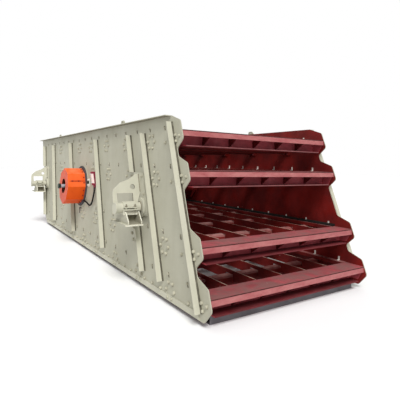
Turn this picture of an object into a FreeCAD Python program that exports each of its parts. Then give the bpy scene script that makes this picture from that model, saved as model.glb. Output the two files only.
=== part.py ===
import FreeCAD, Part
import math
import os

# Four-deck inclined vibrating screen box, modelled with its decks level.
# +X is the discharge end, -Y the near side plate, +Z up. Millimetres.
# Places along the box are given by u and h: h is the height above the side
# plates' bottom edge and u the distance along the box from the line of the
# discharge lobes, which leans back by SKEW as the stiffeners do.

V = FreeCAD.Vector

# Box
SKEW = math.radians(20.0)
INNER_WIDTH = 2400.0
PLATE_THICK = 12.0
PLATE_LENGTH = 7300.0
TOP_FLANGE_DEPTH = 80.0
TOP_FLANGE_THICK = 10.0
FEED_LEAN = 260.0
FEED_LEAN_START = 900.0
FEED_CORNER_LENGTH = 170.0
FEED_CORNER_HEIGHT = 140.0

# Discharge lobes of the side plates, one for each deck
LOBE_UP = 94.0
LOBE_DOWN = 90.0
NOTCH_DEPTH = 170.0
NOTCH_UPPER_RISE = 70.0
NOTCH_LOWER_DROP = 113.0
TOP_CORNER_LENGTH = 190.0
TOP_CORNER_DROP = 70.0
LOBE_ROUND = 45.0

# Decks, numbered from the top one down: the height of the lowest lip's top
# edge, the spacings above it from the lowest up, and the plate above the top lip
LOWEST_DECK = 224.0
DECK_SPACINGS = [445.0, 747.0, 452.0]
PLATE_OVER_TOP_DECK = 192.0
LIP_SETBACK = 5.0
LIP_HEIGHT = 57.0
LIP_THICK = 14.0
LIP_END_GAP = 3.0
TOP_PLATE_DEPTH = 265.0
TOP_PLATE_THICK = 10.0
TOP_PLATE_RISE = 12.0
NOSING_THICK = 10.0
WEB_SETBACK = 187.0
WEB_THICK = 10.0
BEAM_DEPTH = 160.0
LOWER_FLANGE_SETBACK = 31.0
LOWER_FLANGE_THICK = 12.0
LOWER_FLANGE_END = 75.0
END_PLATE_THICK = 12.0
END_PLATE_TOE_SETBACK = 88.0
GUSSET_THICK = 10.0

# Cross tubes and the bars that stand on them
TUBE_RADIUS = 76.0
TUBE_DROP = 105.0
TUBE_FLATS = 20
TUBE_FLANGE_SIDE = 190.0
TUBE_FLANGE_THICK = 14.0
FIRST_TUBE = 785.0
TUBE_PITCH = 825.0
EXCITER_BAY_HALF = 702.0
FEED_BAY_LEAST = 400.0
BAR_PITCH = 400.0
BAR_COUNT = 5
BAR_THICK = 10.0
BAR_RISE = 15.0
RAIL_WIDTH = 80.0
RAIL_THICK = 10.0
RAIL_RISE = 16.0

# Feed end
BACK_PLATE_SETBACK = 60.0
BACK_PLATE_THICK = 10.0
BACK_PLATE_DROP = 110.0
LEDGE_WIDTH = 100.0
LEDGE_THICK = 10.0
BOTTOM_FLANGE_WIDTH = 160.0

# Angle stiffeners on the side plates, placed from the lobe line, the exciter or the feed end
STIFFENER_WIDTH = 80.0
STIFFENER_DEPTH = 80.0
STIFFENER_WALL = 8.0
EDGE_STIFFENER = 182.0
EDGE_STIFFENER_FOOT = 78.0
EDGE_STIFFENER_HEAD_DROP = 79.0
DISCHARGE_STIFFENER = 936.0
STIFFENER_BEFORE_EXCITER = 1104.0
STIFFENER_DISC_GAP = 120.0
FEED_STIFFENER_INSET = 1230.0
SPLIT_STIFFENER_OFFSET = 130.0
STIFFENER_FOOT = 176.0
STIFFENER_HEAD_DROP = 175.0
EDGE_STRIP_WIDTH = 60.0
EDGE_STRIP_THICK = 8.0
EDGE_STRIP_RISE = 10.0
EDGE_STRIP_START = 238.0

# Spring support brackets
DISCHARGE_BRACKET = 1280.0
FEED_BRACKET_INSET = 310.0
ARM_HEIGHT = 933.0
ARM_RADIUS = 65.0
ARM_LENGTH = 366.0
ARM_CAP_LIP = 9.0
ARM_CAP_THICK = 16.0
DOUBLER_THICK = 12.0
DOUBLER_DROP = 100.0
DOUBLER_RISE = 437.0
DOUBLER_HALF = 145.0
DOUBLER_BEVEL = 40.0
GUSSET_PLATE_THICK = 16.0
GUSSET_SINK = 6.0
GUSSET_OVERHANG = 8.0

# Gusset outline: distance out from the side plate and rise above the arm's axis
GUSSET_RISE = 424.0
GUSSET_SHOULDERS = [(60.0, 412.0), (155.0, 349.0), (280.0, 305.0)]
GUSSET_CORNER_BACK = 14.0
GUSSET_CORNER_DROP = 48.0
GUSSET_FOOT = 66.0
GUSSET_FOOT_RISE = 188.0
WINDOW_CLAMP_GAP = 4.0
WINDOW_PAST_CLAMP = 47.0
WINDOW_RISE = 177.0
EYE_RISE = 252.0
EYE_RADIUS = 34.0
EYE_CLEARANCE = 1.0

# Clamped spring seats
CLAMP_CLEARANCE = 0.05
CLAMP_WALL = 15.0
CAP_START = 124.0
SEAT_CLEARANCE = 4.0
CLAMP_INSET = 2.0
CLAMP_END = 288.0
CLAMP_GAP = 14.0
CLAMP_EAR = 112.0
CLAMP_EAR_THICK = 14.0
STUD_SIDE = 16.0
STUD_EDGE = 8.0
RIB_INSET = 6.0
RIB_END = 276.0
RIB_THICK = 14.0
RIB_FOOT_HALF = 198.0
RIB_SHOULDER = 145.0
SEAT_DROP = 178.0
SEAT_THICK = 20.0
SEAT_END = 316.0
SEAT_LENGTH = 440.0

# Exciter
EXCITER_BACK = 3963.0
EXCITER_RISE = 379.0
EXCITER_TUBE_RADIUS = 213.0
EXCITER_TUBE_WALL = 12.0
EXCITER_FLANGE_RADIUS = 300.0
EXCITER_FLANGE_THICK = 25.0
HOUSING_FLANGE_RADIUS = 285.0
HOUSING_FLANGE_THICK = 30.0
HOUSING_RADIUS = 215.0
HOUSING_LENGTH = 110.0
BEARING_CLEARANCE = 0.05
SHAFT_RADIUS = 80.0
PLATE_DISC_MARGIN = 30.0
PLATE_DISC_THICK = 10.0
SHAFT_HOLE_GAP = 20.0
ECCENTRIC_RADIUS = 120.0
ECCENTRICITY = 35.0
ECCENTRIC_END_GAP = 112.0
WHEEL_GUARD_GAP = 27.3
WHEEL_HOUSING_GAP = 20.0
WHEEL_WIDTH = 95.0
WHEEL_HUB_RADIUS = 115.0
STUB_RADIUS = 32.5
STUB_LENGTH = 163.0
STUB_CAP_RADIUS = 46.0
STUB_CAP_LENGTH = 45.0
GUARD_SIDES = 8
GUARD_SEAT = 7.6
GUARD_WALL = 5.0
GUARD_DEPTH = 312.0
GUARD_OPENING = 132.0
GUARD_RING_MARGIN = 45.0
GUARD_RING_GAP = 3.3
GUARD_RING_THICK = 16.0

# Lubrication block beside a stiffener, and the hose to it from the exciter's axis
BLOCK_STIFFENER_GAP = 126.0
BLOCK_RISE = 57.0
BLOCK_LEAN = 50.0
BLOCK_LENGTH = 226.0
BLOCK_WIDTH = 50.0
BLOCK_DEPTH = 80.0
HOSE_RADIUS = 14.0
FITTING_RADIUS = 20.0
FITTING_LENGTH = 34.0
ELBOW_SIDE = 30.0
ELBOW_DROP = 250.0
ELBOW_FRONT = 270.0
HOSE_LAST_RUN = 49.0

# Lifting lugs and transport skids
LUGS = [1578.0, 5376.0]
LUG_LENGTH = 150.0
LUG_RISE = 52.0
LUG_THICK = 20.0
LUG_HOLE_RADIUS = 16.0
LUG_OFFSET = 20.0
SKID_HEIGHT = 100.0
SKID_WIDTH = 100.0
SKID_WALL = 6.0
SKID_END_GAP = 88.0
FRONT_SKID_SETBACK = 128.5
REAR_SKID_GAP = 30.0

# What follows from the sizes above
HALF_WIDTH = INNER_WIDTH / 2
PLATE_OUT = HALF_WIDTH + PLATE_THICK
DECK_HEIGHTS = [LOWEST_DECK + sum(DECK_SPACINGS[:count]) for count in (3, 2, 1, 0)]
PLATE_HEIGHT = DECK_HEIGHTS[0] + PLATE_OVER_TOP_DECK
STIFFENER_HEAD = PLATE_HEIGHT - STIFFENER_HEAD_DROP
LOWER_FLANGE_BOTTOM = LOWEST_DECK - BEAM_DEPTH - LOWER_FLANGE_THICK
LIFT = SKID_HEIGHT - LOWER_FLANGE_BOTTOM

BRACKETS = {"discharge": DISCHARGE_BRACKET, "feed": PLATE_LENGTH - FEED_BRACKET_INSET}
DOUBLER_FOOT = ARM_HEIGHT - DOUBLER_DROP
DOUBLER_HEAD = ARM_HEIGHT + DOUBLER_RISE
SEAT_START = STIFFENER_DEPTH + SEAT_CLEARANCE
CLAMP_START = SEAT_START + CLAMP_INSET
EYE_OUT = STIFFENER_DEPTH + EYE_CLEARANCE + EYE_RADIUS

# The guard's sizes are across its corners
EXCITER_HEIGHT = DECK_HEIGHTS[2] + EXCITER_RISE
BLOCK_BEFORE_EXCITER = STIFFENER_BEFORE_EXCITER - STIFFENER_WIDTH - BLOCK_STIFFENER_GAP
FLAT_SHARE = math.cos(math.pi / GUARD_SIDES)
GUARD_RING_BORE = (HOUSING_FLANGE_RADIUS + GUARD_RING_GAP) / FLAT_SHARE
GUARD_INNER_RADIUS = GUARD_RING_BORE + GUARD_SEAT
GUARD_RADIUS = GUARD_INNER_RADIUS + GUARD_WALL / FLAT_SHARE
GUARD_RING_RADIUS = GUARD_RADIUS + GUARD_RING_MARGIN
PLATE_DISC_RADIUS = GUARD_RING_RADIUS + PLATE_DISC_MARGIN
GUARD_BASE = PLATE_DISC_THICK + GUARD_RING_THICK
WHEEL_RADIUS = GUARD_INNER_RADIUS * FLAT_SHARE - WHEEL_GUARD_GAP
WHEEL_START = HOUSING_LENGTH + WHEEL_HOUSING_GAP
WHEEL_END = WHEEL_START + WHEEL_WIDTH
STUB_END = WHEEL_END + STUB_LENGTH
FULL_STIFFENERS = [
    DISCHARGE_STIFFENER,
    EXCITER_BACK - STIFFENER_BEFORE_EXCITER,
    EXCITER_BACK + PLATE_DISC_RADIUS / math.cos(SKEW) + STIFFENER_DISC_GAP,
    PLATE_LENGTH - FEED_STIFFENER_INSET,
]


def lean(h):
    return h * math.tan(SKEW)


def lowest_tip_x():
    """Furthest +X of the box before centring, on the round of the lowest lobe's lower corner."""
    top = V(-lean(DECK_HEIGHTS[-1] + LOBE_UP), 0, DECK_HEIGHTS[-1] + LOBE_UP)
    corner = V(-lean(DECK_HEIGHTS[-1] - LOBE_DOWN), 0, DECK_HEIGHTS[-1] - LOBE_DOWN)
    foot = V(-NOTCH_DEPTH, 0, 0)
    to_top = (top - corner).normalize()
    to_foot = (foot - corner).normalize()
    half = to_top.getAngle(to_foot) / 2
    centre = corner + (to_top + to_foot).normalize() * (LOBE_ROUND / math.sin(half))
    return centre.x + LOBE_ROUND


TOP_FEED_X = -(PLATE_LENGTH + FEED_LEAN) - lean(PLATE_HEIGHT)
CENTRE_X = (TOP_FEED_X + lowest_tip_x()) / 2


def x_at(u, h):
    return u - lean(h) - CENTRE_X


def z_at(h):
    return h + LIFT


def rounded_wire(points, radii, y):
    """Closed outline at this y through (x, z) corners, each with its radius."""
    count = len(points)
    corners = [V(x, y, z) for x, z in points]
    edges = []
    starts = []
    ends = []
    arcs = []
    for i in range(count):
        before = corners[i - 1]
        corner = corners[i]
        after = corners[(i + 1) % count]
        radius = radii[i]
        to_before = (before - corner).normalize()
        to_after = (after - corner).normalize()
        half = to_before.getAngle(to_after) / 2
        if radius <= 0 or half > math.pi / 2 - 0.01:
            starts.append(corner)
            ends.append(corner)
            arcs.append(None)
            continue
        reach = radius / math.tan(half)
        room = 0.49 * min((before - corner).Length, (after - corner).Length)
        if reach > room:
            reach = room
            radius = reach * math.tan(half)
        first = corner + to_before * reach
        last = corner + to_after * reach
        middle_way = (to_before + to_after).normalize()
        middle = corner + middle_way * (radius / math.sin(half) - radius)
        starts.append(first)
        ends.append(last)
        arcs.append(Part.Arc(first, middle, last).toShape())
    for i in range(count):
        if arcs[i]:
            edges.append(arcs[i])
        run = starts[(i + 1) % count] - ends[i]
        if run.Length > 1e-6:
            edges.append(Part.makeLine(ends[i], starts[(i + 1) % count]))
    return Part.Wire(edges)


def slab(points, y_low, y_high, radii=None):
    """Flat plate between two y values with this (x, z) outline."""
    if radii is None:
        radii = [0.0] * len(points)
    face = Part.Face(rounded_wire(points, radii, y_low))
    return face.extrude(V(0, y_high - y_low, 0))


def skew_slab(points, y_low, y_high, radii=None):
    """Flat plate between two y values with this (u, h) outline."""
    placed = [(x_at(u, h), z_at(h)) for u, h in points]
    return slab(placed, y_low, y_high, radii)


def block(x_low, x_high, y_low, y_high, z_low, z_high):
    return Part.makeBox(x_high - x_low, y_high - y_low, z_high - z_low, V(x_low, y_low, z_low))


def drum(radius, x, z, y_from, y_to):
    """Cylinder along Y between two y values."""
    low = min(y_from, y_to)
    return Part.makeCylinder(radius, abs(y_to - y_from), V(x, low, z), V(0, 1, 0))


def polygon_prism(radius, sides, turn, x, z, y_from, y_to):
    """Regular prism along Y, its first corner at this angle above +X."""
    corners = []
    for index in range(sides):
        angle = turn + 2 * math.pi * index / sides
        corners.append((x + radius * math.cos(angle), z + radius * math.sin(angle)))
    return slab(corners, min(y_from, y_to), max(y_from, y_to))


def out(distance):
    """Y of a point this far outside the near side plate."""
    return -(PLATE_OUT + distance)


def mirrored(shape):
    return shape.mirror(V(0, 0, 0), V(0, 1, 0))


def fuse_all(shapes):
    body = shapes[0]
    if len(shapes) > 1:
        body = body.multiFuse(shapes[1:])
    return body.removeSplitter()


def save(name, shapes):
    """Write one node, a single solid or a group of separate solids."""
    solids = []
    for shape in shapes:
        solids.extend(shape.Solids)
    if len(solids) == 1:
        node = solids[0]
    else:
        node = Part.makeCompound(solids)
    node.exportStep(os.path.join("parts", name + ".step"))


# Side plates

def plate_outline():
    """Corners (u, h) of the side plate and the radius at each."""
    corners = [
        (-PLATE_LENGTH + FEED_CORNER_LENGTH, 0.0, 60.0),
        (-PLATE_LENGTH, FEED_CORNER_HEIGHT, 60.0),
        (-PLATE_LENGTH, FEED_LEAN_START, 200.0),
        (-PLATE_LENGTH - FEED_LEAN, PLATE_HEIGHT, 0.0),
        (-TOP_CORNER_LENGTH, PLATE_HEIGHT, 0.0),
    ]
    for index, deck in enumerate(DECK_HEIGHTS):
        if index == 0:
            corners.append((0.0, PLATE_HEIGHT - TOP_CORNER_DROP, LOBE_ROUND))
        else:
            corners.append((-NOTCH_DEPTH, deck + LOBE_UP + NOTCH_UPPER_RISE, LOBE_ROUND))
            corners.append((0.0, deck + LOBE_UP, LOBE_ROUND))
        corners.append((0.0, deck - LOBE_DOWN, LOBE_ROUND))
        if index < len(DECK_HEIGHTS) - 1:
            corners.append((-NOTCH_DEPTH, deck - LOBE_DOWN - NOTCH_LOWER_DROP, LOBE_ROUND))
        else:
            corners.append((-NOTCH_DEPTH, 0.0, LOBE_ROUND))
    return corners


def exciter_axis():
    return x_at(-EXCITER_BACK, EXCITER_HEIGHT), z_at(EXCITER_HEIGHT)


def near_side_plate():
    outline = plate_outline()
    points = [(u, h) for u, h, radius in outline]
    radii = [radius for u, h, radius in outline]
    plate = skew_slab(points, out(0), -HALF_WIDTH, radii)
    flange_low = PLATE_HEIGHT - TOP_FLANGE_THICK
    lean_rate = FEED_LEAN / (PLATE_HEIGHT - FEED_LEAN_START)
    flange = skew_slab([
        (-PLATE_LENGTH - FEED_LEAN + lean_rate * TOP_FLANGE_THICK, flange_low),
        (-PLATE_LENGTH - FEED_LEAN, PLATE_HEIGHT),
        (-TOP_CORNER_LENGTH, PLATE_HEIGHT),
        (-TOP_CORNER_LENGTH, flange_low),
    ], out(TOP_FLANGE_DEPTH), out(0))
    x, z = exciter_axis()
    disc = drum(PLATE_DISC_RADIUS, x, z, out(PLATE_DISC_THICK), out(0))
    hole = drum(SHAFT_RADIUS + SHAFT_HOLE_GAP, x, z, out(PLATE_DISC_THICK), -HALF_WIDTH)
    return fuse_all([plate, flange, disc]).cut(hole)


def angle_bar(front, foot, head):
    """Stiffener: an angle with one leg on the near plate and one standing at its discharge side."""
    rear = front - STIFFENER_WIDTH
    web = front - STIFFENER_WALL
    standing = skew_slab([(web, foot), (web, head), (front, head), (front, foot)],
                         out(STIFFENER_DEPTH), out(0))
    lying = skew_slab([(rear, foot), (rear, head), (front, head), (front, foot)],
                      out(STIFFENER_WALL), out(0))
    return fuse_all([standing, lying])


def near_stiffeners():
    parts = [angle_bar(-EDGE_STIFFENER, EDGE_STIFFENER_FOOT,
                       PLATE_HEIGHT - EDGE_STIFFENER_HEAD_DROP)]
    for back in FULL_STIFFENERS:
        parts.append(angle_bar(-back, STIFFENER_FOOT, STIFFENER_HEAD))
    for back in BRACKETS.values():
        u = -back - SPLIT_STIFFENER_OFFSET
        parts.append(angle_bar(u, STIFFENER_FOOT, DOUBLER_FOOT))
        parts.append(angle_bar(u, DOUBLER_HEAD, STIFFENER_HEAD))
    return parts


def near_edge_strip():
    low = EDGE_STRIP_RISE
    high = low + EDGE_STRIP_WIDTH
    front = -EDGE_STRIP_START
    back = -PLATE_LENGTH + FEED_CORNER_LENGTH
    return skew_slab([(back, low), (back, high), (front, high), (front, low)],
                     out(EDGE_STRIP_THICK), out(0))


# Decks

def lip_x(deck):
    """X of a lip's front face."""
    return x_at(-LIP_SETBACK, deck)


def discharge_beam(deck):
    x = lip_x(deck)
    z = z_at(deck)
    top = z + TOP_PLATE_RISE
    under_top = top - TOP_PLATE_THICK
    web_front = x - WEB_SETBACK
    web_back = web_front - WEB_THICK
    foot = z - BEAM_DEPTH
    width = HALF_WIDTH - END_PLATE_THICK
    parts = [
        block(x - TOP_PLATE_DEPTH, x, -HALF_WIDTH, HALF_WIDTH, under_top, top),
        block(web_back, web_front, -width, width, foot, under_top),
        block(x - LIP_THICK - NOSING_THICK, x - LIP_THICK, -HALF_WIDTH, HALF_WIDTH,
              z - LIP_HEIGHT, under_top),
        block(web_back, x - LOWER_FLANGE_SETBACK, -HALF_WIDTH + LOWER_FLANGE_END,
              HALF_WIDTH - LOWER_FLANGE_END, foot - LOWER_FLANGE_THICK, foot),
    ]
    nose = x - LIP_THICK - NOSING_THICK
    for row in range(BAR_COUNT):
        y = (row - (BAR_COUNT - 1) / 2) * BAR_PITCH
        parts.append(slab([(web_front, foot), (web_front, under_top), (nose, under_top),
                           (nose, z - LIP_HEIGHT)], y - GUSSET_THICK / 2, y + GUSSET_THICK / 2))
    for side in (-1, 1):
        y_in = side * width
        y_out = side * HALF_WIDTH
        parts.append(slab([(web_back, foot), (web_back, under_top), (nose, under_top),
                           (nose, z - LIP_HEIGHT), (x - END_PLATE_TOE_SETBACK, foot)],
                          min(y_in, y_out), max(y_in, y_out)))
    return fuse_all(parts)


def discharge_lip(deck):
    x = lip_x(deck)
    z = z_at(deck)
    half = HALF_WIDTH - LIP_END_GAP
    return block(x - LIP_THICK, x, -half, half, z - LIP_HEIGHT, z)


def tube_row(first, last):
    """Places from the first one on at the tubes' pitch, none past the last."""
    count = int((last - first) / TUBE_PITCH) + 1
    return [first + TUBE_PITCH * step for step in range(count)]


def tube_places(deck_index):
    """Distances back from the lobe line; the deck over the exciter has no tube at its axis."""
    places = tube_row(FIRST_TUBE, EXCITER_BACK - EXCITER_BAY_HALF)
    if deck_index != 1:
        places.append(EXCITER_BACK)
    places.extend(tube_row(EXCITER_BACK + EXCITER_BAY_HALF, PLATE_LENGTH - FEED_BAY_LEAST))
    return places


def cross_tube(back, deck):
    """Closed tube with a square flange bolted to each side plate; solid, as nothing opens it.

    There are many, so each has a run of narrow flats for its round.
    """
    h = deck - TUBE_DROP
    x = x_at(-back, h)
    z = z_at(h)
    face = HALF_WIDTH - TUBE_FLANGE_THICK
    half = TUBE_FLANGE_SIDE / 2
    tube = polygon_prism(TUBE_RADIUS, TUBE_FLATS, 0.0, x, z, -face, face)
    flange = block(x - half, x + half, -HALF_WIDTH, -face, z - half, z + half)
    return fuse_all([tube, flange, mirrored(flange)])


def back_plate_x(h):
    """X of the back plate's front face."""
    return x_at(-PLATE_LENGTH + BACK_PLATE_SETBACK + BACK_PLATE_THICK, h)


def deck_bars(deck_index):
    deck = DECK_HEIGHTS[deck_index]
    top_h = deck + BAR_RISE
    foot_h = deck - TUBE_DROP
    step = z_at(deck) + TOP_PLATE_RISE - TOP_PLATE_THICK
    front = lip_x(deck) - WEB_SETBACK - WEB_THICK
    shoulder = lip_x(deck) - TOP_PLATE_DEPTH
    outline = [
        (front, z_at(foot_h)),
        (front, step),
        (shoulder, step),
        (shoulder, z_at(top_h)),
        (back_plate_x(top_h), z_at(top_h)),
        (back_plate_x(foot_h), z_at(foot_h)),
    ]
    saddles = []
    for back in tube_places(deck_index):
        x = x_at(-back, foot_h)
        z = z_at(foot_h)
        saddles.append(block(x - TUBE_RADIUS, x + TUBE_RADIUS, -HALF_WIDTH, HALF_WIDTH,
                             z, z + TUBE_RADIUS))
    exciter_x, exciter_z = exciter_axis()
    saddles.append(drum(EXCITER_TUBE_RADIUS, exciter_x, exciter_z, -HALF_WIDTH, HALF_WIDTH))
    bars = []
    for row in range(BAR_COUNT):
        y = (row - (BAR_COUNT - 1) / 2) * BAR_PITCH
        bars.append(slab(outline, y - BAR_THICK / 2, y + BAR_THICK / 2).cut(saddles))
    return bars


def near_side_rail(deck):
    """Inverted angle welded along the plate; the deck's edge lies on it."""
    top_h = deck + RAIL_RISE
    ledge_h = top_h - RAIL_THICK
    leg_h = deck - TUBE_DROP + TUBE_RADIUS
    front = lip_x(deck) - TOP_PLATE_DEPTH
    ledge = slab([(front, z_at(ledge_h)), (front, z_at(top_h)),
                  (back_plate_x(top_h), z_at(top_h)), (back_plate_x(ledge_h), z_at(ledge_h))],
                 -HALF_WIDTH, -HALF_WIDTH + RAIL_WIDTH)
    leg = slab([(front, z_at(leg_h)), (front, z_at(ledge_h)),
                (back_plate_x(ledge_h), z_at(ledge_h)), (back_plate_x(leg_h), z_at(leg_h))],
               -HALF_WIDTH + RAIL_WIDTH - RAIL_THICK, -HALF_WIDTH + RAIL_WIDTH)
    return fuse_all([ledge, leg])


def feed_back_plate():
    """Closed wall at the feed end with a ledge for each deck's bars."""
    rear = -PLATE_LENGTH + BACK_PLATE_SETBACK
    front = rear + BACK_PLATE_THICK
    foot = LOWER_FLANGE_BOTTOM
    top = PLATE_HEIGHT - BACK_PLATE_DROP
    parts = [skew_slab([(rear, foot), (rear, top), (front, top), (front, foot)],
                       -HALF_WIDTH, HALF_WIDTH)]
    bottom_top = foot + LOWER_FLANGE_THICK
    parts.append(skew_slab([(front, foot), (front, bottom_top), (front + BOTTOM_FLANGE_WIDTH, bottom_top),
                            (front + BOTTOM_FLANGE_WIDTH, foot)],
                           -HALF_WIDTH + LOWER_FLANGE_END, HALF_WIDTH - LOWER_FLANGE_END))
    for deck in DECK_HEIGHTS:
        ledge_top = deck - TUBE_DROP
        low = ledge_top - LEDGE_THICK
        parts.append(skew_slab([(front, low), (front, ledge_top), (front + LEDGE_WIDTH, ledge_top),
                                (front + LEDGE_WIDTH, low)], -HALF_WIDTH, HALF_WIDTH))
    return fuse_all(parts)


# Support brackets and spring seats

def arm_axis(back):
    return x_at(-back, ARM_HEIGHT), z_at(ARM_HEIGHT)


def near_bracket(back):
    """Arm tube for a spring seat, its doubler plate and the gusset above it."""
    x, z = arm_axis(back)
    rear = -back - DOUBLER_HALF
    front = -back + DOUBLER_HALF
    bevel_foot = DOUBLER_FOOT + DOUBLER_BEVEL
    doubler = skew_slab([(rear + DOUBLER_BEVEL, DOUBLER_FOOT), (rear, bevel_foot), (rear, DOUBLER_HEAD),
                         (front, DOUBLER_HEAD), (front, bevel_foot), (front - DOUBLER_BEVEL, DOUBLER_FOOT)],
                        out(DOUBLER_THICK), out(0))
    arm = drum(ARM_RADIUS, x, z, out(ARM_LENGTH), out(DOUBLER_THICK))
    cap = drum(ARM_RADIUS + ARM_CAP_LIP, x, z, out(ARM_LENGTH + ARM_CAP_THICK), out(ARM_LENGTH))
    return fuse_all([doubler, arm, cap, bracket_gusset(back)])


def bracket_gusset(back):
    """Plate across the box, leaning with the stiffeners, with a window over the clamp."""
    arm_top = ARM_RADIUS - GUSSET_SINK
    outer = ARM_LENGTH + ARM_CAP_THICK + GUSSET_OVERHANG
    window_start = CAP_START - WINDOW_CLAMP_GAP
    window_end = CLAMP_END + WINDOW_PAST_CLAMP
    corners = [(DOUBLER_THICK, GUSSET_RISE)] + GUSSET_SHOULDERS + [
        (outer - GUSSET_CORNER_BACK, WINDOW_RISE + GUSSET_CORNER_DROP),
        (outer, WINDOW_RISE),
        (outer, arm_top),
        (window_end, arm_top),
        (window_end, WINDOW_RISE),
        (window_start, WINDOW_RISE),
        (window_start, arm_top),
        (GUSSET_FOOT, arm_top),
        (DOUBLER_THICK, GUSSET_FOOT_RISE),
    ]
    points = []
    for distance, rise in corners:
        h = ARM_HEIGHT + rise
        points.append(V(x_at(-back, h) - GUSSET_PLATE_THICK / 2, out(distance), z_at(h)))
    plate = Part.Face(Part.makePolygon(points + [points[0]])).extrude(V(GUSSET_PLATE_THICK, 0, 0))
    normal = V(math.cos(SKEW), 0, math.sin(SKEW))
    eye_height = ARM_HEIGHT + EYE_RISE
    eye = V(x_at(-back, eye_height), out(EYE_OUT), z_at(eye_height))
    reach = 2 * GUSSET_PLATE_THICK
    return plate.cut(Part.makeCylinder(EYE_RADIUS, 2 * reach, eye - normal * reach, normal))


def near_clamp_cap(back):
    """Upper clamp half with the four short studs that tie it to the seat below."""
    x, z = arm_axis(back)
    bore = ARM_RADIUS + CLAMP_CLEARANCE
    shell = bore + CLAMP_WALL
    near = out(CAP_START)
    far = out(CLAMP_END)
    split = z + CLAMP_GAP / 2
    upper_half = block(x - shell, x + shell, far, near, split, z + shell)
    half_shell = drum(shell, x, z, far, near).common(upper_half)
    ears = block(x - CLAMP_EAR, x + CLAMP_EAR, far, near, split, split + CLAMP_EAR_THICK)
    parts = [fuse_all([half_shell, ears]).cut(drum(bore, x, z, far, near))]
    stud_x = CLAMP_EAR - STUD_EDGE - STUD_SIDE
    for low_x in (x + stud_x, x - stud_x - STUD_SIDE):
        for start in (CAP_START + STUD_SIDE, CLAMP_END - 2 * STUD_SIDE):
            parts.append(block(low_x, low_x + STUD_SIDE, out(start + STUD_SIDE), out(start),
                               z - CLAMP_GAP / 2, split))
    return fuse_all(parts)


def near_spring_seat(back):
    """Lower clamp half on two flared ribs and a web, with the plate that rests on the springs."""
    x, z = arm_axis(back)
    bore = ARM_RADIUS + CLAMP_CLEARANCE
    saddle = bore + CLAMP_WALL
    split = z - CLAMP_GAP / 2
    ear_foot = split - CLAMP_EAR_THICK
    seat_top = z - SEAT_DROP
    shoulder = z - RIB_SHOULDER
    rib_start = SEAT_START + RIB_INSET
    parts = [
        block(x - saddle, x + saddle, out(CLAMP_END), out(CLAMP_START), z - saddle, split),
        block(x - CLAMP_EAR, x + CLAMP_EAR, out(CLAMP_END), out(CLAMP_START), ear_foot, split),
        block(x - RIB_THICK / 2, x + RIB_THICK / 2, out(RIB_END), out(rib_start), seat_top, z - saddle),
        block(x - SEAT_LENGTH / 2, x + SEAT_LENGTH / 2, out(SEAT_END), out(SEAT_START),
              seat_top - SEAT_THICK, seat_top),
    ]
    for start in (rib_start, RIB_END - RIB_THICK):
        parts.append(slab([(x - RIB_FOOT_HALF, seat_top), (x - RIB_FOOT_HALF, shoulder),
                           (x - saddle, ear_foot), (x + saddle, ear_foot),
                           (x + RIB_FOOT_HALF, shoulder), (x + RIB_FOOT_HALF, seat_top)],
                          out(start + RIB_THICK), out(start)))
    return fuse_all(parts).cut(drum(bore, x, z, out(CLAMP_END), out(CLAMP_START)))


# Exciter

def exciter_tube():
    """Tube round the shaft between the side plates, with an eight-sided flange at each end."""
    x, z = exciter_axis()
    tube = drum(EXCITER_TUBE_RADIUS, x, z, -HALF_WIDTH, HALF_WIDTH)
    flange = polygon_prism(EXCITER_FLANGE_RADIUS, 8, math.pi / 8, x, z, -HALF_WIDTH,
                           -HALF_WIDTH + EXCITER_FLANGE_THICK)
    bore = drum(EXCITER_TUBE_RADIUS - EXCITER_TUBE_WALL, x, z, -HALF_WIDTH, HALF_WIDTH)
    return fuse_all([tube, flange, mirrored(flange)]).cut(bore)


def near_bearing_housing():
    """Bolted flange and boss around the sealed bearing, one closed piece that the shaft runs in."""
    x, z = exciter_axis()
    base = PLATE_DISC_THICK
    flange = drum(HOUSING_FLANGE_RADIUS, x, z, out(base + HOUSING_FLANGE_THICK), out(base))
    boss = drum(HOUSING_RADIUS, x, z, out(HOUSING_LENGTH), out(base))
    bore = drum(SHAFT_RADIUS + BEARING_CLEARANCE, x, z, out(HOUSING_LENGTH), out(base))
    return fuse_all([flange, boss]).cut(bore)


def exciter_shaft():
    """Shaft through both housings, thick and off centre between them, with a stub at each end."""
    x, z = exciter_axis()
    eccentric_end = HALF_WIDTH - ECCENTRIC_END_GAP
    journal = drum(SHAFT_RADIUS, x, z, out(WHEEL_END), -eccentric_end)
    capped_stub = drum(STUB_RADIUS, x, z, out(STUB_END), out(WHEEL_END))
    drive_stub = drum(STUB_RADIUS, x, z, -out(WHEEL_END), -out(STUB_END + STUB_CAP_LENGTH))
    eccentric = drum(ECCENTRIC_RADIUS, x, z - ECCENTRICITY, -eccentric_end, eccentric_end)
    return fuse_all([journal, capped_stub, mirrored(journal), drive_stub, eccentric])


def near_eccentric_wheel():
    """Out-of-balance weight, a half disc on a hub."""
    x, z = exciter_axis()
    near = out(WHEEL_END)
    far = out(WHEEL_START)
    hub = drum(WHEEL_HUB_RADIUS, x, z, near, far)
    weight = drum(WHEEL_RADIUS, x, z, near, far).common(
        block(x - WHEEL_RADIUS, x + WHEEL_RADIUS, near, far, z - WHEEL_RADIUS, z))
    return fuse_all([hub, weight]).cut(drum(SHAFT_RADIUS, x, z, near, far))


def near_stub_cap():
    x, z = exciter_axis()
    return polygon_prism(STUB_CAP_RADIUS, 6, math.radians(30), x, z,
                         out(STUB_END + STUB_CAP_LENGTH), out(STUB_END))


def near_guard_ring():
    """Round backing ring with an eight-sided opening, between the plate and the guard."""
    x, z = exciter_axis()
    near = out(GUARD_BASE)
    far = out(PLATE_DISC_THICK)
    disc = drum(GUARD_RING_RADIUS, x, z, near, far)
    return disc.cut(polygon_prism(GUARD_RING_BORE, GUARD_SIDES, 0.0, x, z, near, far))


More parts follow.
